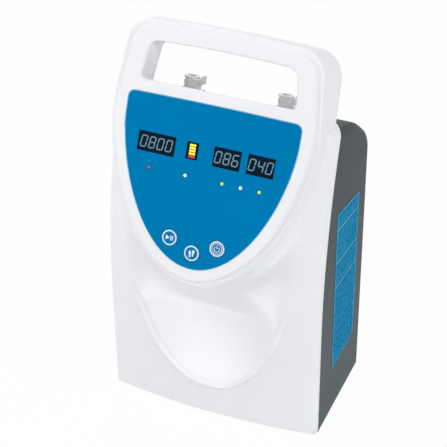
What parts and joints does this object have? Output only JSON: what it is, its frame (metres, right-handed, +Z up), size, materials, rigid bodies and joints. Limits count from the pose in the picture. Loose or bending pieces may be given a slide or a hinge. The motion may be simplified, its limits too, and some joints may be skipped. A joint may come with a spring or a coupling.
{
  "type": "compression therapy pump",
  "caption": "Upright air pump for compression garments: white front with leaning shield panel, buttons and carry handle, dark grey casing, chrome air couplings on top.",
  "frame": {"origin": "on the surface the feet stand on, under the middle of the overall width and depth", "axes": "+Z up, +Y from the control panel to the back, +X to the right seen from the front"},
  "size_m": [0.1903, 0.166, 0.3612],
  "materials": {
    "shell_white": "satin moulded",
    "casing_grey": "fine texture",
    "overlay_blue": "satin film",
    "label_blue": "printed film",
    "window_dark": "clear dark",
    "light_red": "clear lens",
    "light_white": "clear lens",
    "light_green": "clear lens",
    "button_blue": "satin",
    "coupling_chrome": "polished",
    "latch_steel": "stamped",
    "screw_black": "black oxide",
    "screw_steel": "zinc",
    "foot_rubber": "matt",
    "filter_black": "foam",
    "sheet_steel": "galvanised",
    "battery_wrap": "shrink wrap",
    "motor_steel": "drawn can",
    "cast_aluminium": "die cast",
    "shaft_steel": "ground",
    "coil_plastic": "moulded",
    "board_green": "solder mask",
    "component_black": "epoxy",
    "tube_clear": "silicone",
    "ribbon_grey": "flat cable",
    "inlet_black": "moulded",
    "pin_brass": "plated",
    "fuse_glass": "clear"
  },
  "bodies": {
    "case": {"battery_bars": "component_black", "battery_bracket": "sheet_steel", "battery_pack": "battery_wrap", "battery_window": "window_dark", "board_screws": "screw_steel", "case_screws": "screw_steel", "chassis_plate": "sheet_steel", "chassis_screws": "screw_steel", "coupling_left": "coupling_chrome", "coupling_right": "coupling_chrome", "digit_modules": "component_black", "display_board": "board_green", "display_screws": "screw_steel", "feet": "foot_rubber", "front_shell": "shell_white", "green_lights": "light_green", "handle_back_cover": "shell_white", "handle_screws": "screw_steel", "inlet_pins": "pin_brass", "intake_filter": "filter_black", "isolators": "foot_rubber", "main_board": "board_green", "main_board_parts": "component_black", "mains_inlet": "inlet_black", "mains_light": "light_red", "manifold_screws": "screw_steel", "mode_window": "window_dark", "outlet_tube_left": "tube_clear", "outlet_tube_right": "tube_clear", "panel_overlay": "overlay_blue", "port_screws": "screw_black", "pressure_sensor": "component_black", "pressure_window": "window_dark", "pump_cradle": "sheet_steel", "pump_head": "cast_aluminium", "pump_motor": "motor_steel", "pump_tube": "tube_clear", "rear_casing": "casing_grey", "ribbon_cable": "ribbon_grey", "sensor_tube": "tube_clear", "side_label": "label_blue", "solenoid_coils": "coil_plastic", "supply_board": "board_green", "supply_parts": "component_black", "tact_switches": "component_black", "timer_window": "window_dark", "valve_block": "cast_aluminium", "white_lights": "light_white"},
    "start_button": {"start_button": "button_blue"},
    "foot_button": {"foot_button": "button_blue"},
    "power_button": {"power_button": "button_blue"},
    "latch_left": {"latch_left": "latch_steel"},
    "latch_right": {"latch_right": "latch_steel"},
    "pump_rotor": {"pump_rotor": "shaft_steel"},
    "plunger_left": {"plunger_left": "shaft_steel"},
    "plunger_vent": {"plunger_vent": "shaft_steel"},
    "plunger_right": {"plunger_right": "shaft_steel"},
    "fuse_drawer": {"fuse_drawer": "inlet_black", "fuses": "fuse_glass"}
  },
  "joints": [
    {"name": "start_button_press", "type": "slide", "parent": "case", "child": "start_button", "axis": [0, 0.91, -0.4147], "range_m": [0, 0.0008], "stiffness_N_per_m": 600},
    {"name": "foot_button_press", "type": "slide", "parent": "case", "child": "foot_button", "axis": [0, 0.91, -0.4147], "range_m": [0, 0.0008], "stiffness_N_per_m": 600},
    {"name": "power_button_press", "type": "slide", "parent": "case", "child": "power_button", "axis": [0, 0.91, -0.4147], "range_m": [0, 0.0008], "stiffness_N_per_m": 600},
    {"name": "latch_left_press", "type": "slide", "parent": "case", "child": "latch_left", "axis": [-1, 0, 0], "range_m": [0, 0.0015], "stiffness_N_per_m": 500},
    {"name": "latch_right_press", "type": "slide", "parent": "case", "child": "latch_right", "axis": [-1, 0, 0], "range_m": [0, 0.0015], "stiffness_N_per_m": 500},
    {"name": "pump_rotor_spin", "type": "hinge", "parent": "case", "child": "pump_rotor", "pos_m": [-0.024, 0.01399, 0.05], "axis": [1, 0, 0], "continuous": true},
    {"name": "plunger_left_lift", "type": "slide", "parent": "case", "child": "plunger_left", "axis": [0, -1, 0], "range_m": [0, 0.001], "stiffness_N_per_m": 400},
    {"name": "plunger_vent_lift", "type": "slide", "parent": "case", "child": "plunger_vent", "axis": [0, -1, 0], "range_m": [0, 0.001], "stiffness_N_per_m": 400},
    {"name": "plunger_right_lift", "type": "slide", "parent": "case", "child": "plunger_right", "axis": [0, -1, 0], "range_m": [0, 0.001], "stiffness_N_per_m": 400},
    {"name": "fuse_drawer_pull", "type": "slide", "parent": "case", "child": "fuse_drawer", "axis": [0, 1, 0], "range_m": [0, 0.016]}
  ]
}
